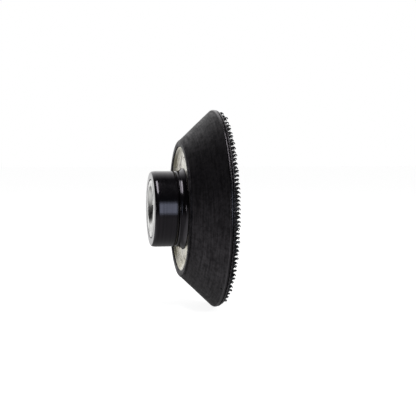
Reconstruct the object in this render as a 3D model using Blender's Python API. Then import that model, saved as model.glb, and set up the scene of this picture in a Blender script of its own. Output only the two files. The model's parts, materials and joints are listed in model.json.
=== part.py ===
"""Backing-pad head of a 75 mm random-orbit sander.

The pad's axis lies along X, with the hub towards -X and the hook face towards +X.
The origin is where the sander's own spindle axis leaves the arbor's outer face. The pad's axis is ECCENTRIC below
it, so one turn of the spindle carries the pad round a circle of that radius, while the pad is free to turn
about its own axis on the ball bearing in the hub.

Every turned piece is a closed profile of (x, r) points in millimetres, spun about the pad's axis.
"""

import math

import bmesh
import bpy
from mathutils import Matrix, Vector

MM = 0.001

# Driving dimensions, in millimetres.
ECCENTRIC = 1.2  # spindle axis above pad axis
SEAM = 0.15  # gap between touching pieces
FILM_GAP = 0.1  # gap each side of the glue film
RUN = 0.2  # gap between pieces that turn past each other

PAD_R = 37.5  # widest part of the rubber
RIM_BACK_X = 23.5  # where the cone meets the rim
RIM_FRONT_X = 24.1  # where the rim meets the glue
GLUE_T = 0.1
GLUE_R = 36.7
BACKING_END_X = 24.95  # front of the hook tape's backing
BACKING_R = 37.4
HOOK_FACE_X = 27.3  # tips of the hooks
HOOKS_R = 36.9
POCKET_X = 19.4  # floor of the foam's pocket in the rubber
POCKET_R = 32.6

LIP_X = 10.85  # crest of the lip round the plate
LIP_IN_R = 23.5
LIP_OUT_R = 25.9
PLATE_RIM_X = 11.25  # outer face of the dished plate's rim
PLATE_X = 12.2  # outer face of its flat middle
PLATE_T = 1.4
PLATE_R = 25.0
DISH_R = 21.3  # the flat middle ends here
RIM_IN_R = 23.4  # and the flat rim begins here

DRUM_R = 14.35
DRUM_END_X = 8.95
COLLAR_X = 9.2  # the collar behind the drum flares into the foot
COLLAR_R = 14.35
FOOT_R = 15.45
SPIGOT_R = 13.0
SPIGOT_END_X = 17.7
CLAMP_WASHER_R = 19.5
CLAMP_WASHER_T = 1.6
NUT_R = 17.3
NUT_T = 2.2
PIN_R = 0.4
PIN_CIRCLE_R = 14.0
PIN_START_X = 11.2
BORE_R = 11.1
LIP_BORE_R = 9.9  # shoulder that the bearing sits against

BEARING_X = 6.6  # 8 x 22 x 7 ball bearing
BEARING_W = 7.0
RACE_BORE_R = 4.0
RACE_OUT_R = 11.0
BALL_R = 3.969 / 2
BALL_PITCH_R = 7.5
BALL_COUNT = 7
GROOVE_R = 2.06
INNER_LAND_R = 6.05
OUTER_LAND_R = 8.95
SHIELD_SEAT_R = 9.7

HEAD_R = 10.9  # arbor head in the drum's mouth
HEAD_T = 5.3
RECESS_R = 7.4
HEX_FLATS = 9.0
HEX_DEPTH = 4.9
JOURNAL_R = 3.93
SHOULDER_R = 5.6  # holds the inner race, and turns inside the dust seal
THREAD_R = 2.5

LARGE = 60  # sides of a turned piece, by its size
MEDIUM = 40
SMALL = 20

BEARING_END_X = BEARING_X + BEARING_W
BEARING_MID_X = BEARING_X + BEARING_W / 2
PLATE_FRONT_X = PLATE_X + PLATE_T


def clear_scene():
    for item in list(bpy.data.objects):
        bpy.data.objects.remove(item, do_unlink=True)


def material(name, colour, roughness, metallic):
    made = bpy.data.materials.new(name)
    made.use_nodes = True
    shader = made.node_tree.nodes["Principled BSDF"]
    shader.inputs["Base Color"].default_value = (*colour, 1.0)
    shader.inputs["Roughness"].default_value = roughness
    shader.inputs["Metallic"].default_value = metallic
    return made


def axis_empty(name, height):
    """An empty on a turning axis, height millimetres above the spindle's axis."""
    made = bpy.data.objects.new(name, None)
    made.location = (0.0, 0.0, height * MM)
    made.empty_display_type = "ARROWS"
    made.empty_display_size = 0.01
    bpy.context.scene.collection.objects.link(made)
    return made


def add_object(name, shape, look, parent):
    """Turns a bmesh into a smooth-shaded object on its parent's axis."""
    bmesh.ops.recalc_face_normals(shape, faces=shape.faces)
    mesh = bpy.data.meshes.new(name)
    shape.to_mesh(mesh)
    shape.free()
    mesh.shade_smooth()
    mesh.set_sharp_from_angle(angle=math.radians(30))
    mesh.materials.append(look)
    made = bpy.data.objects.new(name, mesh)
    made.parent = parent
    bpy.context.scene.collection.objects.link(made)
    return made


def arc(x, r, radius, start, end, steps):
    """Profile points on a circle about (x, r), from start to end in degrees, 0 along +X and 90 outwards."""
    turns = [math.radians(start + (end - start) * i / steps) for i in range(steps + 1)]
    return [(x + radius * math.cos(t), r + radius * math.sin(t)) for t in turns]


def oval_arc(x, r, length, depth, start, end, steps):
    """Like arc, with a half axis of length along X and depth outwards."""
    return [(x + length * (px - x), r + depth * (pr - r)) for px, pr in arc(x, r, 1.0, start, end, steps)]


def ring(inner_r, outer_r, start_x, end_x):
    """Profile of a plain flat ring."""
    return [(start_x, inner_r), (start_x, outer_r), (end_x, outer_r), (end_x, inner_r)]


def spin_profile(profile, sides):
    """Spins a closed profile of (x, r) points about the X axis."""
    shape = bmesh.new()
    points = [shape.verts.new((x * MM, 0.0, r * MM)) for x, r in profile]
    edges = [shape.edges.new((points[i - 1], points[i])) for i in range(len(points))]
    bmesh.ops.spin(
        shape,
        geom=points + edges,
        axis=(1.0, 0.0, 0.0),
        cent=(0.0, 0.0, 0.0),
        angle=2.0 * math.pi,
        steps=sides,
        use_merge=True,
    )
    bmesh.ops.remove_doubles(shape, verts=shape.verts, dist=1e-6)
    bmesh.ops.dissolve_degenerate(shape, edges=shape.edges, dist=1e-7)
    return shape


def turned(name, profile, sides, look, parent):
    return add_object(name, spin_profile(profile, sides), look, parent)


def prism_along_x(start_x, end_x, outline):
    """Extrudes an outline of (y, z) points, in millimetres, from start_x to end_x."""
    shape = bmesh.new()
    corners = [shape.verts.new((start_x * MM, y * MM, z * MM)) for y, z in outline]
    face = shape.faces.new(corners)
    grown = bmesh.ops.extrude_face_region(shape, geom=[face])
    moved = [item for item in grown["geom"] if isinstance(item, bmesh.types.BMVert)]
    bmesh.ops.translate(shape, verts=moved, vec=Vector(((end_x - start_x) * MM, 0.0, 0.0)))
    return shape


def polygon(radius, sides, centre=(0.0, 0.0), phase=0.0):
    """A regular outline of (y, z) points."""
    turns = [phase + 2.0 * math.pi * i / sides for i in range(sides)]
    return [(centre[0] + radius * math.cos(t), centre[1] + radius * math.sin(t)) for t in turns]


def cut(target, name, shape):
    """Takes a shape away from an object with a Boolean, and hides the cutter."""
    cutter = add_object(name, shape, target.data.materials[0], target.parent)
    cutter.hide_render = True
    cutter.display_type = "WIRE"
    boolean = target.modifiers.new(name, "BOOLEAN")
    boolean.operation = "DIFFERENCE"
    boolean.solver = "EXACT"
    boolean.object = cutter


def around(count, radius, phase=0.0):
    """Points spaced evenly round the axis, as (y, z)."""
    return polygon(radius, count, phase=phase)


def make_looks():
    return {
        "black_paint": material("black_paint", (0.012, 0.012, 0.014), 0.18, 0.0),
        "bright_steel": material("bright_steel", (0.66, 0.65, 0.60), 0.28, 1.0),
        "ground_steel": material("ground_steel", (0.60, 0.60, 0.60), 0.18, 1.0),
        "spring_steel": material("spring_steel", (0.20, 0.20, 0.21), 0.40, 1.0),
        "zinc_steel": material("zinc_steel", (0.55, 0.56, 0.58), 0.35, 1.0),
        "nylon": material("nylon", (0.62, 0.58, 0.46), 0.50, 0.0),
        "felt": material("felt", (0.10, 0.09, 0.08), 0.95, 0.0),
        "rubber": material("rubber", (0.022, 0.022, 0.024), 0.55, 0.0),
        "foam": material("foam", (0.06, 0.06, 0.065), 0.90, 0.0),
        "glue": material("glue", (0.35, 0.30, 0.18), 0.40, 0.0),
        "hook_nylon": material("hook_nylon", (0.015, 0.015, 0.016), 0.30, 0.0),
    }


def make_arbor(look, axis):
    """Head with an off-centre socket for the spindle's hexagon, and a journal for the bearing."""
    edge = 0.4
    journal_end_x = BEARING_END_X - 0.6
    head = arc(edge, HEAD_R - edge, edge, 180, 90, 3)
    tail = [
        (HEAD_T, HEAD_R),
        (HEAD_T, SHOULDER_R),
        (BEARING_X - SEAM, SHOULDER_R),
        (BEARING_X - SEAM, JOURNAL_R),
        (journal_end_x - 0.4, JOURNAL_R),
        (journal_end_x, JOURNAL_R - 0.4),
        (journal_end_x, 0.0),
        (0.0, 0.0),
    ]
    arbor = turned("drive_arbor", head + tail, MEDIUM, look, axis)

    spindle = (0.0, ECCENTRIC)
    dish = spin_profile([(-1.0, 0.0), (-1.0, RECESS_R), (0.0, RECESS_R), (1.3, 6.2), (1.3, 0.0)], 36)
    bmesh.ops.translate(dish, verts=dish.verts, vec=Vector((0.0, 0.0, ECCENTRIC * MM)))
    cut(arbor, "cut_recess", dish)
    corner_r = HEX_FLATS / math.sqrt(3.0)
    cut(arbor, "cut_hexagon", prism_along_x(-0.9, HEX_DEPTH, polygon(corner_r, 6, spindle)))
    cut(arbor, "cut_thread", prism_along_x(7.0, journal_end_x + 1.0, polygon(THREAD_R, SMALL)))


def make_arbor_fixing(look, axis):
    """Low-headed screw and washer that clamp the inner race against the arbor's shoulder."""
    washer_x = BEARING_END_X + SEAM
    head_x = washer_x + 1.0 + SEAM
    tip_x = 8.0
    shank_r = THREAD_R - SEAM
    turned("arbor_washer", ring(THREAD_R + SEAM, 5.7, washer_x, washer_x + 1.0), MEDIUM, look, axis)
    profile = [
        (tip_x, 0.0),
        (tip_x, 1.9),
        (tip_x + 0.5, shank_r),
        (head_x, shank_r),
        (head_x, 4.2),
        (head_x + 1.7, 4.2),
        (head_x + 2.3, 3.6),
        (head_x + 2.3, 0.0),
    ]
    screw = turned("arbor_screw", profile, SMALL, look, axis)
    key_r = 3.0 / math.sqrt(3.0)
    cut(screw, "cut_key", prism_along_x(head_x + 0.9, head_x + 3.0, polygon(key_r, 6)))


def groove(land_r, steps):
    """The ball track as seen from a race: an arc of the ball's path circle that opens at the land."""
    half = math.degrees(math.acos(abs(land_r - BALL_PITCH_R) / GROOVE_R))
    middle = 90 if land_r > BALL_PITCH_R else -90
    return arc(BEARING_MID_X, BALL_PITCH_R, GROOVE_R, middle - half, middle + half, steps)


def make_races(look, arbor_axis, pad_axis):
    edge = 0.3
    start, end = BEARING_X, BEARING_END_X
    inner = [(start + edge, RACE_BORE_R), (start, RACE_BORE_R + edge), (start, INNER_LAND_R)]
    inner += groove(INNER_LAND_R, 6)
    inner += [(end, INNER_LAND_R), (end, RACE_BORE_R + edge), (end - edge, RACE_BORE_R)]
    turned("bearing_inner_race", inner, MEDIUM, look, arbor_axis)

    seat = 0.8
    outer = [(start + edge, RACE_OUT_R), (start, RACE_OUT_R - edge), (start, SHIELD_SEAT_R)]
    outer += [(start + seat, SHIELD_SEAT_R), (start + seat, OUTER_LAND_R)]
    outer += list(reversed(groove(OUTER_LAND_R, 6)))
    outer += [(end - seat, OUTER_LAND_R), (end - seat, SHIELD_SEAT_R)]
    outer += [(end, SHIELD_SEAT_R), (end, RACE_OUT_R - edge), (end - edge, RACE_OUT_R)]
    turned("bearing_outer_race", outer, MEDIUM, look, pad_axis)


def make_shields(look, axis):
    thickness = 0.35
    inner_r = INNER_LAND_R + RUN
    outer_r = SHIELD_SEAT_R - SEAM
    front_x = BEARING_X + 0.2
    rear_x = BEARING_END_X - 0.2 - thickness
    turned("bearing_shield_front", ring(inner_r, outer_r, front_x, front_x + thickness), MEDIUM, look, axis)
    turned("bearing_shield_rear", ring(inner_r, outer_r, rear_x, rear_x + thickness), MEDIUM, look, axis)


def make_balls(ball_look, cage_look, axis):
    """Balls on the pitch circle, and the crown cage that spaces them."""
    places = around(BALL_COUNT, BALL_PITCH_R, math.pi / 2)
    for number, (y, z) in enumerate(places, start=1):
        ball = bmesh.new()
        bmesh.ops.create_uvsphere(ball, u_segments=12, v_segments=8, radius=BALL_R * MM)
        made = add_object(f"bearing_ball_{number}", ball, ball_look, axis)
        made.location = (BEARING_MID_X * MM, y * MM, z * MM)

    cage = turned("bearing_cage", ring(6.6, 8.4, BEARING_MID_X - 2.6, BEARING_MID_X + 0.9), 28, cage_look, axis)
    for number, (y, z) in enumerate(places, start=1):
        pocket = bmesh.new()
        bmesh.ops.create_uvsphere(pocket, u_segments=12, v_segments=8, radius=(BALL_R + RUN) * MM)
        place = Vector((BEARING_MID_X * MM, y * MM, z * MM))
        bmesh.ops.translate(pocket, verts=pocket.verts, vec=place)
        cut(cage, f"cut_pocket_{number}", pocket)


def make_dust_seal(look, axis):
    """Felt ring in the housing's lip, behind the arbor's head."""
    profile = ring(SHOULDER_R + RUN, LIP_BORE_R - SEAM, HEAD_T + RUN, BEARING_X - SEAM)
    turned("dust_seal", profile, MEDIUM, look, axis)


def make_housing(look, axis):
    """Drum with a rounded mouth, a groove, a collar that flares onto the plate and a spigot through it."""
    mouth_depth = 0.65
    mouth_length = 1.8
    drum_end = 0.55
    collar_edge = 0.6
    groove_r = 13.6
    foot_end_x = PLATE_X - SEAM
    outside = oval_arc(mouth_length, DRUM_R - mouth_depth, mouth_length, mouth_depth, 180, 90, 5)
    outside += arc(DRUM_END_X - drum_end, DRUM_R - drum_end, drum_end, 90, 0, 4)
    outside += [(COLLAR_X, groove_r)]
    outside += arc(COLLAR_X + collar_edge, COLLAR_R - collar_edge, collar_edge, 180, 90, 4)
    outside += [(foot_end_x, FOOT_R), (foot_end_x, SPIGOT_R), (SPIGOT_END_X, SPIGOT_R)]

    ring_x = BEARING_END_X + 0.95
    ring_w = 1.2
    inside = [
        (SPIGOT_END_X, BORE_R),
        (ring_x + ring_w, BORE_R),
        (ring_x + ring_w, BORE_R + 0.7),
        (ring_x, BORE_R + 0.7),
        (ring_x, BORE_R),
        (BEARING_X - SEAM, BORE_R),
        (BEARING_X - SEAM, LIP_BORE_R),
        (HEAD_T + RUN, LIP_BORE_R),
        (HEAD_T + RUN, BORE_R),
        (0.0, BORE_R),
    ]
    housing = turned("hub_housing", outside + inside, MEDIUM, look, axis)
    for number, centre in enumerate(around(2, PIN_CIRCLE_R), start=1):
        cut(housing, f"cut_pin_seat_{number}", pin_hole(PIN_START_X - SEAM, PLATE_X + 1.0, centre))


def make_ring_and_spring(look, axis):
    """Wave washer and internal retaining ring behind the outer race."""
    sides = 36
    waves = 3
    swing = 0.18
    middle_x = BEARING_END_X + 0.48
    shape = bmesh.new()
    loops = []
    for i in range(sides):
        turn = 2.0 * math.pi * i / sides
        x = middle_x + swing * math.sin(waves * turn)
        section = [(x - 0.12, 9.7), (x - 0.12, 10.9), (x + 0.12, 10.9), (x + 0.12, 9.7)]
        points = [(px * MM, r * MM * math.cos(turn), r * MM * math.sin(turn)) for px, r in section]
        loops.append([shape.verts.new(point) for point in points])
    for i in range(sides):
        here, last = loops[i], loops[i - 1]
        for j in range(4):
            shape.faces.new((last[j - 1], last[j], here[j], here[j - 1]))
    add_object("wave_washer", shape, look, axis)

    start_x = BEARING_END_X + 1.05
    gap = 14.0
    lug = 32.0
    outer_r = BORE_R + 0.5
    outline = [(outer_r, gap + (360.0 - 2.0 * gap) * i / 40) for i in range(41)]
    outline += [(8.3, 360.0 - gap), (8.3, 360.0 - lug)]
    outline += [(9.9, 360.0 - lug - (360.0 - 2.0 * lug) * i / 32) for i in range(33)]
    outline += [(8.3, lug), (8.3, gap)]
    corners = [(r * math.cos(math.radians(turn)), r * math.sin(math.radians(turn))) for r, turn in outline]
    clip = add_object("retaining_ring", prism_along_x(start_x, start_x + 1.0, corners), look, axis)
    for number, turn in enumerate((math.radians(23.0), math.radians(-23.0)), start=1):
        centre = (9.6 * math.cos(turn), 9.6 * math.sin(turn))
        hole = prism_along_x(start_x - 0.5, start_x + 1.5, polygon(0.6, 8, centre))
        cut(clip, f"cut_lug_{number}", hole)


def dished(clearance):
    """Outer face of the plate from its flat middle to its edge; clearance widens it for the rubber's seat."""
    return [
        (PLATE_X, DISH_R + clearance),
        (PLATE_RIM_X, RIM_IN_R + clearance),
        (PLATE_RIM_X, PLATE_R + clearance),
    ]


def pin_hole(start_x, end_x, centre):
    """Cutter for one locating pin's hole."""
    return prism_along_x(start_x, end_x, polygon(PIN_R + SEAM, 8, centre))


def make_plate_clamp(plate_look, steel_look, axis):
    """Plate between the housing's foot and a washer, held by a slotted ring nut, with two pins through them."""
    hole_r = SPIGOT_R + SEAM
    washer_x = PLATE_FRONT_X + SEAM
    washer_end_x = washer_x + CLAMP_WASHER_T
    nut_x = washer_end_x + SEAM
    plate_profile = [(PLATE_X, hole_r)] + dished(0.0)
    plate_profile += [(x + PLATE_T, r) for x, r in reversed(dished(0.0))] + [(PLATE_FRONT_X, hole_r)]
    washer_profile = ring(hole_r, CLAMP_WASHER_R, washer_x, washer_end_x)
    plate = turned("backing_plate", plate_profile, LARGE, plate_look, axis)
    washer = turned("clamp_washer", washer_profile, MEDIUM, steel_look, axis)
    for number, centre in enumerate(around(2, PIN_CIRCLE_R), start=1):
        cut(plate, f"cut_plate_{number}", pin_hole(PLATE_X - 1.0, PLATE_FRONT_X + 1.0, centre))
        cut(washer, f"cut_washer_{number}", pin_hole(washer_x - 1.0, washer_end_x + 1.0, centre))
        pin = prism_along_x(PIN_START_X, washer_end_x, polygon(PIN_R, 8, centre))
        add_object(f"locating_pin_{number}", pin, steel_look, axis)

    nut = turned("ring_nut", ring(hole_r, NUT_R, nut_x, nut_x + NUT_T), MEDIUM, steel_look, axis)
    for number, (y, z) in enumerate(around(4, NUT_R, math.pi / 4), start=1):
        slot = bmesh.new()
        bmesh.ops.create_cube(slot, size=1.0)
        place = Matrix.Translation(((nut_x + NUT_T / 2) * MM, y * MM, z * MM))
        turn = Matrix.Rotation(math.atan2(z, y), 4, "X")
        size = Matrix.Diagonal((4.0 * MM, 3.2 * MM, 3.0 * MM, 1.0))
        bmesh.ops.transform(slot, matrix=place @ turn @ size, verts=slot.verts)
        cut(nut, f"cut_slot_{number}", slot)


def make_cover(look, axis):
    """Domed cap pressed into the end of the spigot."""
    skirt_r = BORE_R - SEAM
    wall = 0.5
    start_x = BEARING_END_X + 2.3
    crown_x = 18.9
    profile = [(start_x, skirt_r - wall), (start_x, skirt_r)]
    profile += arc(crown_x - 1.2, skirt_r - 1.2, 1.2, 90, 0, 3)
    profile += [(crown_x, 0.0), (crown_x - wall, 0.0)]
    profile += arc(crown_x - 1.2, skirt_r - 1.2, 1.2 - wall, 0, 90, 3)
    turned("bearing_cover", profile, MEDIUM, look, axis)


def make_skirt(look, axis):
    """Moulded rubber body: a lip that grips the plate, the cone, the rim, and a pocket for the foam."""
    crest = 0.2
    edge = 0.8
    well_r = CLAMP_WASHER_R + 0.3
    cone_angle = math.degrees(math.atan2(PAD_R - LIP_OUT_R, RIM_BACK_X - LIP_X - crest))
    corner_x = RIM_BACK_X + edge * math.tan(math.radians(cone_angle / 2))
    outside = arc(LIP_X + crest, LIP_IN_R + crest, crest, 270, 180, 2)
    outside += oval_arc(LIP_X + crest, LIP_OUT_R - 2 * crest, crest, 2 * crest, 180, 90, 3)
    outside += arc(corner_x, PAD_R - edge, edge, 90 + cone_angle, 90, 3)
    outside += [(RIM_FRONT_X - 0.2, PAD_R), (RIM_FRONT_X, PAD_R - 0.2)]
    inside = [
        (RIM_FRONT_X, POCKET_R),
        (POCKET_X, POCKET_R),
        (POCKET_X, well_r),
        (PLATE_FRONT_X + SEAM, well_r),
    ]
    inside += [(x + PLATE_T + SEAM, r) for x, r in dished(SEAM)]
    inside += [(PLATE_RIM_X - SEAM, PLATE_R + SEAM), (PLATE_RIM_X - SEAM, LIP_IN_R)]
    turned("pad_skirt", outside + inside, LARGE, look, axis)


def disc(radius, start_x, end_x):
    """Profile of a plain solid disc."""
    return [(start_x, 0.0), (start_x, radius), (end_x, radius), (end_x, 0.0)]


def make_working_face(looks, axis):
    """Foam core, glue film and the envelope of the hook layer."""
    foam = disc(POCKET_R - SEAM, POCKET_X + SEAM, RIM_FRONT_X)
    turned("foam_cushion", foam, LARGE, looks["foam"], axis)
    glue_x = RIM_FRONT_X + FILM_GAP
    glue_end_x = glue_x + GLUE_T
    turned("tape_adhesive", disc(GLUE_R, glue_x, glue_end_x), LARGE, looks["glue"], axis)
    tape_x = glue_end_x + FILM_GAP
    edge = 0.2
    tape = [(tape_x, 0.0), (tape_x, BACKING_R - edge), (tape_x + edge, BACKING_R)]
    tape += [(BACKING_END_X - edge, BACKING_R), (BACKING_END_X, BACKING_R - edge)]
    tape += [(BACKING_END_X, HOOKS_R + 0.2), (HOOK_FACE_X, HOOKS_R - 0.3), (HOOK_FACE_X, 0.0)]
    turned("hook_tape", tape, LARGE, looks["hook_nylon"], axis)


def main():
    clear_scene()
    looks = make_looks()
    arbor_axis = axis_empty("arbor_axis", -ECCENTRIC)
    pad_axis = axis_empty("pad_axis", -ECCENTRIC)
    ball_axis = axis_empty("ball_axis", -ECCENTRIC)

    make_arbor(looks["bright_steel"], arbor_axis)
    make_arbor_fixing(looks["zinc_steel"], arbor_axis)
    make_races(looks["ground_steel"], arbor_axis, pad_axis)
    make_shields(looks["ground_steel"], pad_axis)
    make_balls(looks["ground_steel"], looks["nylon"], ball_axis)
    make_dust_seal(looks["felt"], pad_axis)
    make_housing(looks["black_paint"], pad_axis)
    make_ring_and_spring(looks["spring_steel"], pad_axis)
    make_plate_clamp(looks["bright_steel"], looks["zinc_steel"], pad_axis)
    make_cover(looks["zinc_steel"], pad_axis)
    make_skirt(looks["rubber"], pad_axis)
    make_working_face(looks, pad_axis)


main()
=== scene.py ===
"""Looks of the sanding-pad head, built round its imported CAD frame.

The pad's axis lies along X, with the hub at -X and the hook face at +X. Profiles are lists of (x, r) points
in millimetres about that axis.
"""

import json
import math
import random

import bpy
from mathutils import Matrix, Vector, noise


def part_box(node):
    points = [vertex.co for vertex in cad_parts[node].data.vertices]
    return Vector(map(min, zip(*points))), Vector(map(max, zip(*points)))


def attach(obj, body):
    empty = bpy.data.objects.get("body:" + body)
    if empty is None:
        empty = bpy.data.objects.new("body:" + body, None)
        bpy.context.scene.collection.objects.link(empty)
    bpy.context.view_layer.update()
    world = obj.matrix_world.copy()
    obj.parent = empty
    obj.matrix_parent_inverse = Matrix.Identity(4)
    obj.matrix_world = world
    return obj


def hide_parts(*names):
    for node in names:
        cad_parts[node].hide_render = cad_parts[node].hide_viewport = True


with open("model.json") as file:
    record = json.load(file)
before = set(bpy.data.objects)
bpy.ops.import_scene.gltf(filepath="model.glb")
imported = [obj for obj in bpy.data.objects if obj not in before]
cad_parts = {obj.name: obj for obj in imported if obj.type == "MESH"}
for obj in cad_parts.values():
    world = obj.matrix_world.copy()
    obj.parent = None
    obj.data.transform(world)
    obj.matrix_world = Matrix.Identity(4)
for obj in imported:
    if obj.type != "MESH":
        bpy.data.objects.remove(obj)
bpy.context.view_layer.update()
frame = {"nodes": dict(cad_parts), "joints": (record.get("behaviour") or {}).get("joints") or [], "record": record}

MM = 0.001
AXIS_Z = frame["joints"][0]["pos_m"][2]  # height of the pad's axis
NODES = frame["nodes"]

# Camera: a long lens, a little above the pad's axis and a little towards the hub's side.
CAMERA_AZIMUTH = math.radians(-10.6)
CAMERA_ELEVATION = math.radians(3.1)
CAMERA_DISTANCE = 0.3855
CAMERA_LENS = 87.25
CAMERA_TARGET = Vector((0.02214, 0.0, AXIS_Z + 0.00012))


def span(node):
    """A node's extent along X and its radius about the pad's axis, in millimetres."""
    low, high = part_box(node)
    return low.x / MM, high.x / MM, high.y / MM


_, SPIGOT_END_X, FOOT_R = span("hub_housing")
PLATE_RIM_X, PLATE_END_X, PLATE_R = span("backing_plate")
LIP_X, RIM_END_X, PAD_R = span("pad_skirt")
TAPE_X, _, TAPE_R = span("hook_tape")
FOAM_X, FOAM_END_X, FOAM_R = span("foam_cushion")
_, JOURNAL_END_X, HEAD_R = span("drive_arbor")

DISH_DEPTH = 0.95
DISH_R, RIM_IN_R = 21.3, 23.4  # the plate's dished border runs from one to the other
PLATE_X = PLATE_RIM_X + DISH_DEPTH  # the plate's flat middle
PLATE_T = PLATE_END_X - PLATE_X
BACKING_T = 0.55
BACKING_END_X = TAPE_X + BACKING_T  # the hook tape's backing ends and its hooks begin
HOOKS_R = TAPE_R - 0.45
ORBIT_Z = -AXIS_Z / MM  # the spindle's axis, above the pad's axis


# Shapes -------------------------------------------------------------------------------------------------

def arc(x, r, length, depth, start, end, steps):
    """Profile points on an oval about (x, r), from start to end in degrees, 0 along +X and 90 outwards."""
    turns = [math.radians(start + (end - start) * i / steps) for i in range(steps + 1)]
    return [(x + length * math.cos(t), r + depth * math.sin(t)) for t in turns]


def line(start, end, steps):
    """Profile points from start up to, and without, end."""
    return [tuple(a + (b - a) * i / steps for a, b in zip(start, end)) for i in range(steps)]


def circle(x, radius, sides, lift=0.0):
    """A loop round the pad's axis, or round one that is lift above it."""
    turns = [2.0 * math.pi * i / sides for i in range(sides)]
    return [(x, radius * math.sin(t), radius * math.cos(t) + lift) for t in turns]


def hexagon(x, flats, sides, lift):
    """A loop round a hexagon, with as many points as the circles that it joins."""
    loop = []
    for i in range(sides):
        turn = 2.0 * math.pi * i / sides
        off_flat = (turn + math.pi / 6.0) % (math.pi / 3.0) - math.pi / 6.0
        radius = flats / 2.0 / math.cos(off_flat)
        loop.append((x, radius * math.sin(turn), radius * math.cos(turn) + lift))
    return loop


def mesh_object(name, points, faces, sharp=35.0):
    """A smooth-shaded object from points in millimetres about the pad's axis."""
    mesh = bpy.data.meshes.new(name)
    mesh.from_pydata([(x * MM, y * MM, z * MM + AXIS_Z) for x, y, z in points], [], faces)
    mesh.validate()
    mesh.shade_smooth()
    mesh.set_sharp_from_angle(angle=math.radians(sharp))
    made = bpy.data.objects.new(name, mesh)
    bpy.context.scene.collection.objects.link(made)
    return made


def loft(name, loops, closed=False):
    """Joins loops of equal length into one skin; an open one gets a face over each end."""
    sides = len(loops[0])
    points = [point for loop in loops for point in loop]
    faces = []
    last = len(loops) if closed else len(loops) - 1
    for i in range(last):
        here, there = i * sides, (i + 1) % len(loops) * sides
        for j in range(sides):
            k = (j + 1) % sides
            faces.append((here + j, there + j, there + k, here + k))
    if not closed:
        faces.append(tuple(range(sides)))
        faces.append(tuple(reversed(range(len(points) - sides, len(points)))))
    return mesh_object(name, points, faces)


def turned(name, profile, sides):
    """A ring from a closed profile of (x, r) points that runs from -X over the outside to +X."""
    return loft(name, [circle(x, r, sides) for x, r in profile], closed=True)


def finish_piece(piece, body, look, replaced):
    piece.data.materials.append(look)
    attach(piece, body)
    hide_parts(*replaced)
    return piece


# Materials ----------------------------------------------------------------------------------------------

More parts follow.
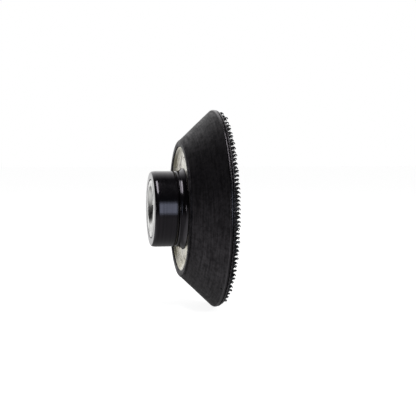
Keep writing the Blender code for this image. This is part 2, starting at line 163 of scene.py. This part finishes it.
class Look:
    """A node material in the making: each method adds a node and returns the socket that it gives."""

    def __init__(self, name):
        self.material = bpy.data.materials.new(name)
        self.material.use_nodes = True
        self.tree = self.material.node_tree
        self.shader = self.tree.nodes["Principled BSDF"]
        self.place = self.add("ShaderNodeTexCoord").outputs["Object"]

    def add(self, kind, inputs=(), **settings):
        made = self.tree.nodes.new(kind)
        for key, value in settings.items():
            setattr(made, key, value)
        for key, value in dict(inputs).items():
            self.set(made.inputs[key], value)
        return made

    def set(self, socket, value):
        if isinstance(value, bpy.types.NodeSocket):
            self.tree.links.new(value, socket)
        else:
            socket.default_value = value

    def surface(self, **inputs):
        for key, value in inputs.items():
            self.set(self.shader.inputs[key.replace("_", " ").title().replace("Ior", "IOR")], value)
        return self.material

    def math(self, operation, a, b):
        return self.add("ShaderNodeMath", {0: a, 1: b}, operation=operation).outputs[0]

    def stretch(self, scale):
        """Object coordinates from the pad's axis, times a scale for each axis; 1000 gives millimetres."""
        axis = (0.0, 0.0, AXIS_Z)
        centred = self.add("ShaderNodeVectorMath", {0: self.place, 1: axis}, operation="SUBTRACT").outputs[0]
        return self.add("ShaderNodeVectorMath", {0: centred, 1: scale}, operation="MULTIPLY").outputs[0]

    def along(self):
        """Distance along the pad's axis, in millimetres."""
        return self.add("ShaderNodeSeparateXYZ", {0: self.stretch((1000.0, 1.0, 1.0))}).outputs[0]

    def radius(self):
        """Distance from the pad's axis, in millimetres."""
        flat = self.stretch((0.0, 1000.0, 1000.0))
        return self.add("ShaderNodeVectorMath", {0: flat}, operation="LENGTH").outputs["Value"]

    def noise(self, scale, detail=3.0, roughness=0.55, vector=None, distortion=0.0):
        """Noise with about scale features to the millimetre."""
        if vector is None:
            vector = self.stretch((1000.0, 1000.0, 1000.0))
        inputs = {"Vector": vector, "Scale": scale, "Detail": detail, "Roughness": roughness,
                  "Distortion": distortion}
        return self.add("ShaderNodeTexNoise", inputs).outputs["Fac"]

    def rings(self, scale, around_scale):
        """Noise that changes fast with x and slowly round the axis, as turning or moulding marks do."""
        vector = self.stretch((1000.0 * scale, 1000.0 * around_scale, 1000.0 * around_scale))
        return self.noise(1.0, 4.0, 0.6, vector)

    def grooves(self, scale, around_scale):
        """The same for a flat face: noise that changes fast with the radius."""
        slow = self.stretch((0.0, 1000.0 * around_scale, 1000.0 * around_scale))
        fast = self.math("MULTIPLY", self.radius(), scale)
        offset = self.add("ShaderNodeCombineXYZ", {"X": fast}).outputs[0]
        vector = self.add("ShaderNodeVectorMath", {0: slow, 1: offset}, operation="ADD").outputs[0]
        return self.noise(1.0, 4.0, 0.6, vector)

    def spots(self, scale, size):
        """1 in the middle of scattered spots, 0 between them."""
        inputs = {"Vector": self.stretch((1000.0,) * 3), "Scale": scale}
        cell = self.add("ShaderNodeTexVoronoi", inputs, feature="F1")
        return self.ease(cell.outputs["Distance"], size, size * 0.4)

    def ease(self, value, low, high, to_low=0.0, to_high=1.0):
        inputs = {"Value": value, "From Min": low, "From Max": high, "To Min": to_low, "To Max": to_high}
        return self.add("ShaderNodeMapRange", inputs, interpolation_type="SMOOTHSTEP").outputs[0]

    def band(self, value, low, high, soft):
        """1 where value lies between low and high."""
        rise = self.ease(value, low - soft, low + soft)
        fall = self.ease(value, high - soft, high + soft, 1.0, 0.0)
        return self.math("MULTIPLY", rise, fall)

    def mix(self, factor, a, b):
        """Colour a where factor is 0, b where it is 1."""
        made = self.add("ShaderNodeMix", {"Factor": factor}, data_type="RGBA")
        for socket, value in zip([s for s in made.inputs if s.type == "RGBA"], (a, b)):
            self.set(socket, (*value, 1.0) if isinstance(value, tuple) and len(value) == 3 else value)
        return [s for s in made.outputs if s.type == "RGBA"][0]

    def bump(self, height, depth, onto=None):
        """Normals of a surface with height from 0 to 1 standing for depth in millimetres."""
        inputs = {"Height": height, "Distance": depth * MM, "Strength": 1.0}
        if onto is not None:
            inputs["Normal"] = onto
        return self.add("ShaderNodeBump", inputs).outputs[0]


def black_paint():
    """Gloss black, with faint turning marks under it, orange peel, haze and a little dust."""
    look = Look("black_paint")
    haze = look.noise(0.35, 4.0)
    turning = look.rings(1.5, 0.015)
    dust = look.spots(1.1, 0.07)
    roughness = look.math("ADD", look.ease(haze, 0.3, 0.75, 0.13, 0.18), look.math("MULTIPLY", dust, 0.2))
    normal = look.bump(turning, 0.002)
    normal = look.bump(look.noise(1.6, 2.0), 0.0012, normal)
    colour = look.mix(haze, (0.004, 0.0036, 0.0045), (0.008, 0.0072, 0.009))
    colour = look.mix(look.math("MULTIPLY", dust, 0.4), colour, (0.05, 0.05, 0.05))
    return look.surface(base_color=colour, roughness=roughness, normal=normal, ior=1.58,
                        specular_ior_level=look.ease(turning, 0.35, 0.65, 0.42, 0.60),
                        specular_tint=(0.96, 0.89, 1.0, 1.0))


def bright_steel(name, colour, stain, rough_low, rough_high, stained=0.0):
    """Satin steel with turned grooves and wiping haze, and where stained a cream tinge and brown marks."""
    look = Look(name)
    cream = (0.80, 0.77, 0.62)
    haze = look.noise(0.25, 5.0, 0.6, distortion=0.6)
    fine = look.grooves(9.0, 0.05)
    scratches = look.noise(1.0, 3.0, 0.7, look.stretch((900.0, 260.0, 2600.0)))
    marks = look.ease(look.noise(0.28, 5.0, 0.65, distortion=1.0), 0.53, 0.64)
    ring = look.band(look.radius(), 15.5, 22.6, 0.8)
    marks = look.math("MULTIPLY", look.math("MULTIPLY", marks, ring), stained)
    aged = look.math("MULTIPLY", look.ease(look.noise(0.09, 3.0, 0.5), 0.40, 0.60), stained)
    base = look.mix(haze, colour, tuple(c * 0.86 for c in colour))
    base = look.mix(aged, base, tuple(c * tinge for c, tinge in zip(colour, cream)))
    base = look.mix(marks, base, stain)
    wiped = look.ease(haze, 0.3, 0.7, rough_low, rough_high)
    roughness = look.math("ADD", wiped, look.math("MULTIPLY", marks, 0.3))
    normal = look.bump(fine, 0.0022)
    normal = look.bump(scratches, 0.0012, normal)
    return look.surface(base_color=base, metallic=1.0, roughness=roughness, normal=normal)


def plain_steel(name, colour, roughness):
    """Steel of the small inner pieces: fine turning marks, haze and darker specks."""
    look = Look(name)
    haze = look.noise(0.6, 4.0)
    specks = look.spots(1.6, 0.12)
    base = look.mix(haze, colour, tuple(c * 0.8 for c in colour))
    base = look.mix(look.math("MULTIPLY", specks, 0.4), base, tuple(c * 0.4 for c in colour))
    normal = look.bump(look.rings(5.0, 0.08), 0.002)
    return look.surface(base_color=base, metallic=1.0, normal=normal,
                        roughness=look.ease(haze, 0.3, 0.7, roughness * 0.8, roughness * 1.3))


def rubber():
    """Matt moulded rubber: streaks round the cone, cloudy bloom, clumps, a few pores whose dark colour is painted
    shade, and a rubbed rim.
    """
    look = Look("rubber")
    streaks = look.rings(1.9, 0.10)
    broad = look.rings(0.5, 0.09)
    bloom = look.noise(0.20, 5.0, 0.6, distortion=0.8)
    clumps = look.noise(0.75, 5.0, 0.7)
    shade = look.math("ADD", look.math("MULTIPLY", streaks, 0.45), look.math("MULTIPLY", clumps, 0.45))
    shade = look.math("ADD", shade, look.math("MULTIPLY", bloom, 0.3))
    colour = look.mix(look.ease(shade, 0.48, 0.76), (0.0012, 0.0010, 0.0015), (0.014, 0.0125, 0.014))

    # Pores: real pits, given a bump below; their near-black colour and weaker specular are painted shade inside
    # them.
    pore_place = (0.0226, -0.0239, AXIS_Z - 0.0277)
    deep_pit_and_painted_shade = look.add("ShaderNodeVectorMath", {0: look.place, 1: pore_place}, operation="DISTANCE")
    deep_pit_and_painted_shade = deep_pit_and_painted_shade.outputs["Value"]
    pits_and_painted_shade = look.math("MAXIMUM", look.spots(0.30, 0.05), look.math("MULTIPLY", look.spots(1.3, 0.10), 0.35))
    pits_and_painted_shade = look.math("MAXIMUM", pits_and_painted_shade, look.ease(deep_pit_and_painted_shade, 0.0003, 0.0005, 1.0, 0.0))
    # Painted shade: the pores' colour goes nearly black.
    colour = look.mix(look.math("MULTIPLY", pits_and_painted_shade, 0.95), colour, (0.0005, 0.0005, 0.0005))

    rubbed = look.ease(look.along(), 23.0, 23.4)
    roughness = look.ease(shade, 0.45, 0.8, 0.56, 0.42)
    roughness = look.math("SUBTRACT", roughness, look.math("MULTIPLY", rubbed, 0.27))
    specular = look.math("ADD", look.ease(shade, 0.45, 0.78, 0.26, 0.62), look.math("MULTIPLY", rubbed, 0.35))
    # Painted shade: the pores lose most of their specular.
    specular = look.math("MULTIPLY", specular, look.ease(pits_and_painted_shade, 0.0, 1.0, 1.0, 0.1))
    normal = look.bump(streaks, 0.05)
    normal = look.bump(broad, 0.06, normal)
    normal = look.bump(clumps, 0.07, normal)
    normal = look.bump(look.math("SUBTRACT", 1.0, pits_and_painted_shade), 0.12, normal)
    return look.surface(base_color=colour, roughness=roughness, normal=normal, specular_ior_level=specular,
                        specular_tint=(0.98, 0.90, 1.0, 1.0))


def hook_nylon():
    look = Look("hook_nylon")
    tint = look.noise(0.7, 3.0)
    colour = look.mix(tint, (0.008, 0.008, 0.009), (0.022, 0.022, 0.024))
    normal = look.bump(look.noise(9.0, 2.0), 0.008)
    roughness = look.ease(tint, 0.3, 0.7, 0.18, 0.34)
    return look.surface(base_color=colour, roughness=roughness, normal=normal, ior=1.53)


def ribbed_backing():
    """Moulded nylon backing: fine ribs that show as a row of dots along its cut edge."""
    look = Look("ribbed_backing")
    across = {"Vector": look.stretch((0.0, 0.0, 1000.0)), "Scale": 0.207}
    across = look.add("ShaderNodeTexWave", across, bands_direction="Z").outputs["Fac"]
    along = {"Vector": look.stretch((1000.0, 0.0, 0.0)), "Scale": 0.2}
    along = look.add("ShaderNodeTexWave", along, bands_direction="X").outputs["Fac"]
    ribs = look.math("MULTIPLY", across, along)
    fuzz = look.noise(1.4, 4.0, 0.65)
    shade = look.math("ADD", look.math("MULTIPLY", ribs, 0.6), look.math("MULTIPLY", fuzz, 0.5))
    colour = look.mix(look.ease(shade, 0.25, 0.75), (0.004, 0.0036, 0.0045), (0.030, 0.027, 0.032))
    normal = look.bump(ribs, 0.02)
    normal = look.bump(fuzz, 0.015, normal)
    return look.surface(base_color=colour, roughness=look.ease(fuzz, 0.3, 0.7, 0.20, 0.34), normal=normal,
                        specular_ior_level=look.ease(shade, 0.2, 0.7, 0.4, 0.9),
                        specular_tint=(0.98, 0.90, 1.0, 1.0))


def soft_plain(name, dark, light, grain, depth, roughness):
    """Nylon, felt, foam and glue: two tones broken up by a grain of the right size."""
    look = Look(name)
    grains = look.noise(grain, 4.0, 0.65)
    cells = look.spots(grain * 1.7, 0.4)
    colour = look.mix(look.ease(grains, 0.3, 0.7), dark, light)
    normal = look.bump(look.math("ADD", grains, look.math("MULTIPLY", cells, 0.5)), depth)
    return look.surface(base_color=colour, normal=normal,
                        roughness=look.ease(grains, 0.3, 0.7, roughness * 0.85, min(1.0, roughness * 1.1)))


# Pieces -------------------------------------------------------------------------------------------------

def hub_drum(look):
    """Painted drum with a rounded mouth, a groove, a collar that flares onto the plate, and the spigot."""
    sides = 192
    drum_r, groove_r, bore_r, spigot_r = 14.35, 13.6, 11.1, 13.0
    mouth_length, mouth_depth, drum_edge = 1.8, 0.65, 0.55
    drum_end_x, collar_x, collar_r = 8.95, 9.10, 14.35
    collar_length, collar_depth = 0.7, 0.45
    groove_half_w = (collar_x - drum_end_x) / 2.0
    foot_end_x = PLATE_X - 0.05
    profile = [(0.25, bore_r), (0.0, bore_r + 0.22)]
    profile += line((0.0, bore_r + 0.3), (0.0, drum_r - mouth_depth + 0.03), 3)
    profile += arc(mouth_length, drum_r - mouth_depth, mouth_length, mouth_depth, 180, 90, 16)
    profile += line((mouth_length + 0.4, drum_r), (drum_end_x - drum_edge - 0.1, drum_r), 6)
    profile += arc(drum_end_x - drum_edge, drum_r - drum_edge, drum_edge, drum_edge, 90, 2, 8)
    profile += arc(drum_end_x + groove_half_w, groove_r, groove_half_w, 0.1, 180, 360, 4)
    flare_x, flare_end_x, rise = collar_x + collar_length, foot_end_x - 0.15, FOOT_R - collar_r
    profile += arc(flare_x, collar_r - collar_depth, collar_length, collar_depth, 178, 98, 10)
    flare_length = (flare_end_x - flare_x) / math.cos(math.radians(30.0))
    profile += arc(flare_x, collar_r + 2.0 * rise, flare_length, 2.0 * rise, 275, 330, 8)
    profile += [(flare_end_x + 0.05, FOOT_R), (foot_end_x, FOOT_R - 0.15), (foot_end_x, spigot_r)]
    profile += [(SPIGOT_END_X - 0.4, spigot_r), (SPIGOT_END_X, spigot_r - 0.4), (SPIGOT_END_X, bore_r)]
    ring_x, ring_end_x, ring_r = 14.55, 15.75, bore_r + 0.7  # the retaining ring's groove
    lip_x, lip_end_x, lip_r = 5.5, 6.45, 9.9  # the shoulder in front of the bearing
    profile += [(ring_end_x, bore_r), (ring_end_x, ring_r), (ring_x, ring_r), (ring_x, bore_r)]
    profile += [(lip_end_x, bore_r), (lip_end_x, lip_r), (lip_x, lip_r), (lip_x, bore_r)]
    return finish_piece(turned("hub_drum", profile, sides), "pad", look, ["hub_housing"])


def arbor_core(look):
    """Head with a dished, off-centre mouth round the spindle's hexagon, and the bearing journal behind it."""
    sides = 192
    head_t, shoulder_r, shoulder_x, journal_r, thread_r, thread_x = 5.3, 5.6, 6.45, 3.93, 2.5, 7.0
    dish_r, dish_floor_r, dish_depth, flats, hex_depth = 7.4, 6.25, 1.3, 9.0, 4.9
    edge = 0.35
    loops = [circle(thread_x, thread_r, sides), circle(JOURNAL_END_X - 0.3, thread_r, sides)]
    loops += [circle(JOURNAL_END_X, thread_r + 0.3, sides), circle(JOURNAL_END_X, journal_r - 0.4, sides)]
    loops += [circle(JOURNAL_END_X - 0.4, journal_r, sides), circle(shoulder_x, journal_r, sides)]
    loops += [circle(shoulder_x, shoulder_r, sides), circle(head_t, shoulder_r, sides)]
    loops += [circle(head_t, HEAD_R - 0.2, sides), circle(head_t - 0.2, HEAD_R, sides)]
    loops += [circle(x, r, sides) for x, r in arc(edge, HEAD_R - edge, edge, edge, 90, 180, 6)]
    loops += [circle(0.0, dish_r + 0.25, sides, ORBIT_Z), circle(0.06, dish_r + 0.08, sides, ORBIT_Z)]
    loops += [circle(0.2, dish_r, sides, ORBIT_Z)]
    loops += [circle(dish_depth - 0.25, dish_floor_r + 0.2, sides, ORBIT_Z)]
    loops += [circle(dish_depth, dish_floor_r - 0.1, sides, ORBIT_Z)]
    loops += [hexagon(dish_depth, flats + 0.9, sides, ORBIT_Z)]
    loops += [hexagon(dish_depth + 0.4, flats, sides, ORBIT_Z), hexagon(hex_depth, flats, sides, ORBIT_Z)]
    loops += [circle(hex_depth, 1.2, sides, ORBIT_Z)]
    piece = loft("arbor_core", list(reversed(loops)))
    return finish_piece(piece, "arbor", look, ["drive_arbor"])


def plate_disc(look):
    """Pressed plate: a flat middle, and a dished border whose rim lies under the rubber lip."""
    sides = 256
    hole_r = 13.15
    edge = 0.25
    steps = 12
    blend = 0.4  # the border's bends begin this far outside it
    border = []
    for i in range(steps + 1):
        rise = DISH_DEPTH * (1.0 - math.cos(math.pi * i / steps)) / 2.0
        r = DISH_R - blend + (RIM_IN_R - DISH_R + 2.0 * blend) * i / steps
        border.append((PLATE_X - rise, r))
    profile = [(PLATE_X + 0.1, hole_r), (PLATE_X, hole_r + 0.1)]
    profile += line((PLATE_X, hole_r + 0.6), border[0], 10)
    profile += border
    profile += arc(PLATE_RIM_X + edge, PLATE_R - edge, edge, edge, 180, 90, 4)
    profile += arc(PLATE_RIM_X + PLATE_T - edge, PLATE_R - edge, edge, edge, 90, 0, 4)
    profile += [(x + PLATE_T, r) for x, r in reversed(border)]
    profile += [(PLATE_END_X, hole_r + 0.1), (PLATE_END_X - 0.1, hole_r)]
    return finish_piece(turned("plate_disc", profile, sides), "pad", look, ["backing_plate"])


def rubber_body(look):
    """Cone with a beaded lip round the plate and a rounded rim, its skin a little uneven from moulding."""
    sides = 320
    lip_in_r, lip_out_r = 23.5, 25.85
    bead = 0.3
    seat_x = PLATE_RIM_X - 0.03
    rim_back_x = 23.5
    edge = 0.8
    cone_start = (LIP_X + 0.8, lip_out_r + 0.42)
    slope = math.degrees(math.atan2(PAD_R - cone_start[1], rim_back_x - cone_start[0]))
    corner_x = rim_back_x + edge * math.tan(math.radians(slope / 2.0))
    corner = arc(corner_x, PAD_R - edge, edge, edge, 90.0 + slope, 90.0, 8)
    rim_edge = 0.28
    profile = [(seat_x, lip_in_r)]
    profile += arc(LIP_X + bead, lip_in_r + 0.5, bead, 0.5, 270, 180, 5)
    profile += line((LIP_X, lip_in_r + 0.8), (LIP_X, lip_out_r - 0.7), 3)
    profile += arc(LIP_X + bead + 0.1, lip_out_r - 0.45, bead + 0.1, 0.45, 180, 90, 6)
    profile += arc(cone_start[0] - 0.2, cone_start[1] - 0.12, 0.16, 0.12, 200, 340, 3)
    profile += line(cone_start, corner[0], 60)
    profile += corner
    profile += line((corner_x + 0.1, PAD_R), (RIM_END_X - 0.3, PAD_R), 3)
    profile += arc(RIM_END_X - rim_edge, PAD_R - rim_edge, rim_edge, rim_edge, 90, 0, 4)
    clearance = 0.15  # to the foam and to the plate
    pocket_x, pocket_r, well_r = FOAM_X - clearance, FOAM_R + clearance, 19.8
    profile += [(RIM_END_X, pocket_r), (pocket_x, pocket_r), (pocket_x, well_r)]
    seat = [(PLATE_X, DISH_R), (PLATE_RIM_X, RIM_IN_R), (PLATE_RIM_X, PLATE_R)]
    profile += [(PLATE_END_X + clearance, well_r)]
    profile += [(x + PLATE_T + clearance, r + clearance) for x, r in seat]
    profile += [(seat_x, PLATE_R + clearance)]
    piece = turned("rubber_body", profile, sides)
    for vertex in piece.data.vertices:
        x, y, z = vertex.co / MM
        radius = math.hypot(y, z - AXIS_Z / MM)
        if cone_start[1] + 0.3 < radius < PAD_R - 0.02 and x < rim_back_x + 0.4:
            broad = noise.noise(Vector((x, y, z)) * 0.16) * 0.05
            fine = noise.noise(Vector((x * 1.3, y, z)) * 0.5) * 0.02
            vertex.co.x -= (broad + fine) * MM
    return finish_piece(piece, "pad", look, ["pad_skirt"])


def foam_core(look):
    """Soft core in the rubber's pocket: a low crowned disc with rounded edges."""
    sides = 96
    edge = 0.8
    crown = 0.12
    back = [(FOAM_X + crown * (r / FOAM_R) ** 2, r) for r in range(2, int(FOAM_R), 3)]
    front = [(FOAM_END_X - crown * (r / FOAM_R) ** 2, r) for r in range(int(FOAM_R) - 1, 1, -3)]
    side = arc(FOAM_X + edge + crown, FOAM_R - edge, edge, edge, 180, 90, 5)
    side += arc(FOAM_END_X - edge - crown, FOAM_R - edge, edge, edge, 90, 0, 5)
    piece = loft("foam_core", [circle(x, r, sides) for x, r in reversed(back + side + front)])
    finish_piece(piece, "pad", look, ["foam_cushion"])
    return piece


def tape_backing(look):
    """Thin backing of the hook tape, its cut edge rounded and slightly wavy."""
    sides = 320
    edge = 0.25
    centre_r = 0.6
    profile = line((TAPE_X, centre_r), (TAPE_X, TAPE_R - edge), 2)
    profile += arc(TAPE_X + edge, TAPE_R - edge, edge, edge, 180, 90, 5)
    profile += arc(BACKING_END_X - edge, TAPE_R - edge, edge, edge, 90, 0, 5)
    profile += line((BACKING_END_X, TAPE_R - edge - 0.5), (BACKING_END_X, centre_r), 24)
    profile += [(BACKING_END_X, centre_r)]
    piece = loft("tape_backing", [circle(x, r, sides) for x, r in reversed(profile)])
    for vertex in piece.data.vertices:
        x, y, z = vertex.co / MM
        if math.hypot(y, z - AXIS_Z / MM) > TAPE_R - 0.6:
            pull = 1.0 + noise.noise(Vector((x, y, z)) * 0.35) * 0.0018 - 0.0012
            vertex.co.y *= pull
            vertex.co.z = (vertex.co.z - AXIS_Z) * pull + AXIS_Z
    return finish_piece(piece, "pad", look, ["hook_tape"])


def hook_path(reach, droop, curl):
    """Centreline of one fin-shaped hook as (out, down, depth, width): a broad root and a tip curled down."""
    bend_x, bend_out, bend_down = 1.55, 0.40, 0.42 * droop
    path = [(-0.10, 0.62, 0.80, 0.36), (0.35, 0.52, 0.62, 0.34), (1.00, 0.24, 0.38, 0.30)]
    steps = 4
    for i in range(steps + 1):
        turn = math.radians(100.0 - (100.0 + curl) * i / steps)
        size = 0.27 - 0.12 * i / steps
        path.append((bend_x + bend_out * math.cos(turn), bend_down * (1.0 - math.sin(turn)), size, size))
    return [(out * reach, down, depth, width) for out, down, depth, width in path]


def add_hook(points, faces, root, path, roll, lean):
    """One hook: a tube of six-sided rings along its path, closed at both ends."""
    sides = 6
    first = len(points)
    cos_roll, sin_roll = math.cos(roll), math.sin(roll)
    for i, (out, down, depth, width) in enumerate(path):
        before = path[max(i - 1, 0)]
        after = path[min(i + 1, len(path) - 1)]
        run = math.atan2(after[1] - before[1], after[0] - before[0])
        for j in range(sides):
            turn = 2.0 * math.pi * j / sides
            x = out - depth * math.cos(turn) * math.sin(run)
            sag = down + depth * math.cos(turn) * math.cos(run)
            side = width * math.sin(turn) + lean * out
            points.append((root[0] + x, root[1] + side * cos_roll - sag * sin_roll,
                           root[2] - sag * cos_roll - side * sin_roll))
    for i in range(len(path) - 1):
        for j in range(sides):
            k = (j + 1) % sides
            here = first + i * sides
            faces.append((here + j, here + k, here + sides + k, here + sides + j))
    faces.append(tuple(first + j for j in reversed(range(sides))))
    faces.append(tuple(len(points) - sides + j for j in range(sides)))


def hook_field(name, parity, look):
    """Every other column of hooks over the round face, each a little different from the next."""
    draw = random.Random(11 + parity)
    row_pitch, column_pitch = 1.46, 1.50
    tilt = math.radians(-4.5)
    hang = 1.4  # how far a hook's root and tip reach down, which the lowest rows have to leave free
    points, faces = [], []
    columns = int(HOOKS_R / column_pitch) + 2
    rows = int(HOOKS_R / row_pitch) + 2
    for column in range(-columns, columns + 1):
        if column % 2 != parity:
            continue
        for row in range(-rows, rows + 1):
            along = column * column_pitch + draw.uniform(-0.07, 0.07)
            up = (row + 0.25 * parity) * row_pitch + 0.3 + draw.uniform(-0.10, 0.10)
            y = along * math.cos(tilt) - up * math.sin(tilt)
            z = along * math.sin(tilt) + up * math.cos(tilt)
            path = hook_path(draw.uniform(0.93, 1.0), draw.uniform(0.85, 1.15), draw.uniform(-15.0, 30.0))
            roll, lean = draw.gauss(0.0, 0.16), draw.gauss(0.0, 0.07)
            if math.hypot(y, z) < HOOKS_R - 0.15 and math.hypot(y, z - hang) < TAPE_R - 0.1:
                add_hook(points, faces, (BACKING_END_X, y, z), path, roll, lean)
    piece = mesh_object(name, points, faces, sharp=60.0)
    return finish_piece(piece, "pad", look, ["hook_tape"])


def dress_frame(looks):
    """The CAD's own nodes that stay in sight or inside, each in its slot's material."""
    slots = {row["node"]: row["material_slot"] for row in frame["record"]["subparts"]}
    for name, node in NODES.items():
        node.data.materials.clear()
        node.data.materials.append(looks[slots[name]])


# Stage --------------------------------------------------------------------------------------------------

def aim(item, target):
    item.rotation_euler = (Vector(target) - item.location).to_track_quat("-Z", "Y").to_euler()


def softbox(name, place, size, radiance, colour=(1.0, 1.0, 1.0)):
    """A rectangular light aimed at the pad's axis; radiance is what a mirror would show of it."""
    data = bpy.data.lights.new(name, "AREA")
    data.shape = "RECTANGLE"
    data.size, data.size_y = size
    data.energy = radiance * math.pi * size[0] * size[1]
    data.color = colour
    light = bpy.data.objects.new(name, data)
    light.location = place
    light.visible_camera = False
    bpy.context.scene.collection.objects.link(light)
    reach = 0.1  # the aim goes no further along the axis than this
    aim(light, (max(-reach, min(place[0], reach)), 0.0, AXIS_Z))


def make_floor():
    """A nearly white floor that takes the pad's shadow, and that no reflection or bounce shows."""
    half = 4.0
    gap = 0.00002  # between the pad's rim and the floor
    height = AXIS_Z - PAD_R * MM - gap
    mesh = bpy.data.meshes.new("floor")
    corners = [(-half, -half, height), (half, -half, height), (half, half, height), (-half, half, height)]
    mesh.from_pydata(corners, [], [(0, 1, 2, 3)])
    floor = bpy.data.objects.new("floor", mesh)
    bpy.context.scene.collection.objects.link(floor)
    floor.visible_glossy = False
    floor.visible_diffuse = False
    paint = bpy.data.materials.new("floor")
    paint.use_nodes = True
    shader = paint.node_tree.nodes["Principled BSDF"]
    shader.inputs["Base Color"].default_value = (0.5, 0.5, 0.5, 1.0)
    shader.inputs["Roughness"].default_value = 1.0
    shader.inputs["Specular IOR Level"].default_value = 0.0
    shader.inputs["Emission Color"].default_value = (1.0, 1.0, 1.0, 1.0)
    shader.inputs["Emission Strength"].default_value = 0.90
    mesh.materials.append(paint)


def make_world():
    """White to the camera. Its light is a wall behind, a dim bounce below and a table on the hub's side."""
    world = bpy.data.worlds.new("studio")
    world.use_nodes = True
    bpy.context.scene.world = world
    tree = world.node_tree
    tree.nodes.clear()

    def add(kind, inputs, **settings):
        made = tree.nodes.new(kind)
        for key, value in settings.items():
            setattr(made, key, value)
        for key, value in inputs.items():
            if isinstance(value, bpy.types.NodeSocket):
                tree.links.new(value, made.inputs[key])
            else:
                made.inputs[key].default_value = value
        return made

    def ease(value, low, high, to_low, to_high):
        inputs = {"Value": value, "From Min": low, "From Max": high, "To Min": to_low, "To Max": to_high}
        return add("ShaderNodeMapRange", inputs, interpolation_type="SMOOTHSTEP").outputs[0]

    def product(a, b):
        return add("ShaderNodeMath", {0: a, 1: b}, operation="MULTIPLY").outputs[0]

    direction = add("ShaderNodeTexCoord", {}).outputs["Generated"]
    parts = add("ShaderNodeSeparateXYZ", {"Vector": direction}).outputs
    wall = product(ease(parts["Y"], 0.16, 0.98, 0.0, 1.15), ease(parts["X"], -0.75, -0.25, 0.0, 1.0))
    wall = product(wall, ease(parts["Z"], -0.35, -0.02, 0.0, 1.0))
    below = ease(parts["Z"], -0.50, 0.0, 0.25, 0.0)
    table_place = (-0.80, 0.05, -0.60)
    towards_table = add("ShaderNodeVectorMath", {0: direction, 1: table_place}, operation="DOT_PRODUCT")
    table = ease(towards_table.outputs["Value"], 0.72, 0.97, 0.01, 0.50)
    total = add("ShaderNodeMath", {0: wall, 1: below}, operation="ADD").outputs[0]
    total = add("ShaderNodeMath", {0: total, 1: table}, operation="ADD").outputs[0]
    seen = add("ShaderNodeLightPath", {}).outputs["Is Camera Ray"]
    strength = add("ShaderNodeMix", {"Factor": seen, "A": total, "B": 1.0}, data_type="FLOAT")
    strength = strength.outputs["Result"]
    background = add("ShaderNodeBackground", {"Color": (1.0, 1.0, 1.0, 1.0), "Strength": strength})
    output = tree.nodes.new("ShaderNodeOutputWorld")
    tree.links.new(background.outputs[0], output.inputs["Surface"])


def make_lights():
    """Softboxes overhead, for the hook face and, in two layers, in front; a strip on the hub's side."""
    softbox("overhead_softbox", (-0.060, -0.175, 0.560), (0.14, 0.46), 6.5)
    softbox("hook_side_softbox", (0.60, -0.12, 0.34), (0.30, 0.30), 4.0)
    softbox("left_strip", (-0.42, -0.30, 0.02), (0.03, 0.10), 9.0)
    softbox("front_softbox", (0.10, -0.52, 0.035), (0.17, 0.37), 0.8, (0.74, 0.85, 1.0))
    softbox("front_softbox_core", (0.10, -0.51, 0.035), (0.17, 0.25), 1.5, (0.74, 0.85, 1.0))


def make_camera():
    data = bpy.data.cameras.new("camera")
    data.lens = CAMERA_LENS
    data.sensor_width = 36.0
    data.clip_start = 0.01
    camera = bpy.data.objects.new("camera", data)
    back = Vector((
        math.sin(CAMERA_AZIMUTH) * math.cos(CAMERA_ELEVATION),
        -math.cos(CAMERA_AZIMUTH) * math.cos(CAMERA_ELEVATION),
        math.sin(CAMERA_ELEVATION),
    ))
    camera.location = CAMERA_TARGET + back * CAMERA_DISTANCE
    bpy.context.scene.collection.objects.link(camera)
    aim(camera, CAMERA_TARGET)
    bpy.context.scene.camera = camera


def main():
    plate_colour, plate_stain = (0.60, 0.575, 0.50), (0.17, 0.11, 0.09)
    looks = {
        "black_paint": black_paint(),
        "bright_steel": bright_steel("bright_steel", plate_colour, plate_stain, 0.20, 0.32, stained=0.9),
        "ground_steel": plain_steel("ground_steel", (0.60, 0.60, 0.60), 0.18),
        "spring_steel": plain_steel("spring_steel", (0.20, 0.20, 0.21), 0.40),
        "zinc_steel": plain_steel("zinc_steel", (0.55, 0.56, 0.58), 0.34),
        "nylon": soft_plain("nylon", (0.50, 0.46, 0.34), (0.66, 0.62, 0.50), 1.5, 0.01, 0.5),
        "felt": soft_plain("felt", (0.05, 0.045, 0.04), (0.14, 0.13, 0.11), 5.0, 0.10, 0.95),
        "rubber": rubber(),
        "foam": soft_plain("foam", (0.03, 0.03, 0.033), (0.08, 0.08, 0.085), 3.0, 0.12, 0.9),
        "glue": soft_plain("glue", (0.02, 0.018, 0.014), (0.06, 0.05, 0.035), 1.2, 0.02, 0.4),
        "hook_nylon": hook_nylon(),
    }
    dress_frame(looks)
    hub_drum(looks["black_paint"])
    arbor_core(bright_steel("arbor_steel", (0.86, 0.86, 0.84), (0.3, 0.25, 0.2), 0.26, 0.42))
    plate_disc(looks["bright_steel"])
    rubber_body(looks["rubber"])
    foam_core(looks["foam"])
    tape_backing(ribbed_backing())
    hook_field("hook_field_even", 0, looks["hook_nylon"])
    hook_field("hook_field_odd", 1, looks["hook_nylon"])

    make_floor()
    make_world()
    make_lights()
    make_camera()
    bpy.context.scene.view_settings.view_transform = "Standard"


main()
